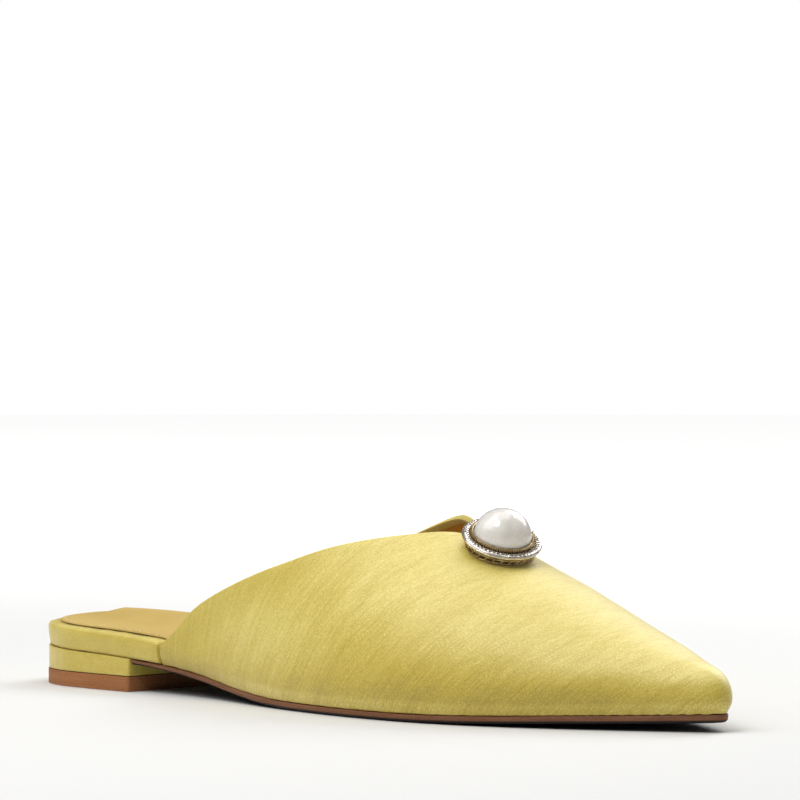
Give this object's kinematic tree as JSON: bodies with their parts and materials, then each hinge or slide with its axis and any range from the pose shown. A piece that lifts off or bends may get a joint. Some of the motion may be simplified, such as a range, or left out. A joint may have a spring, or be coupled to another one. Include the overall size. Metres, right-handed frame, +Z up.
{
  "type": "babouche slipper",
  "caption": "Pointed flat slipper with an open back, V-cut throat, low covered heel, padded insole and a pearl brooch on the vamp.",
  "frame": {"origin": "middle of the bounding box seen from above, on the floor", "axes": "+X to the toe, +Y to the inner (medial) side of the foot, +Z up"},
  "size_m": [0.2698, 0.0796, 0.0604],
  "materials": {
    "satin": "chartreuse slub satin",
    "sock_leather": "smooth tan",
    "sole_rubber": "matte brown",
    "gilt_metal": "polished",
    "bright_metal": "polished, set with small clear stones",
    "pearl": "pearl lustre"
  },
  "bodies": {
    "root": {"upper": "satin", "insole_board": "satin", "heel_block": "satin", "sock_lining": "sock_leather", "outsole": "sole_rubber", "top_lift": "sole_rubber", "brooch_gallery": "gilt_metal", "brooch_cup": "gilt_metal", "brooch_halo": "bright_metal", "brooch_pearl": "pearl"}
  },
  "joints": []
}
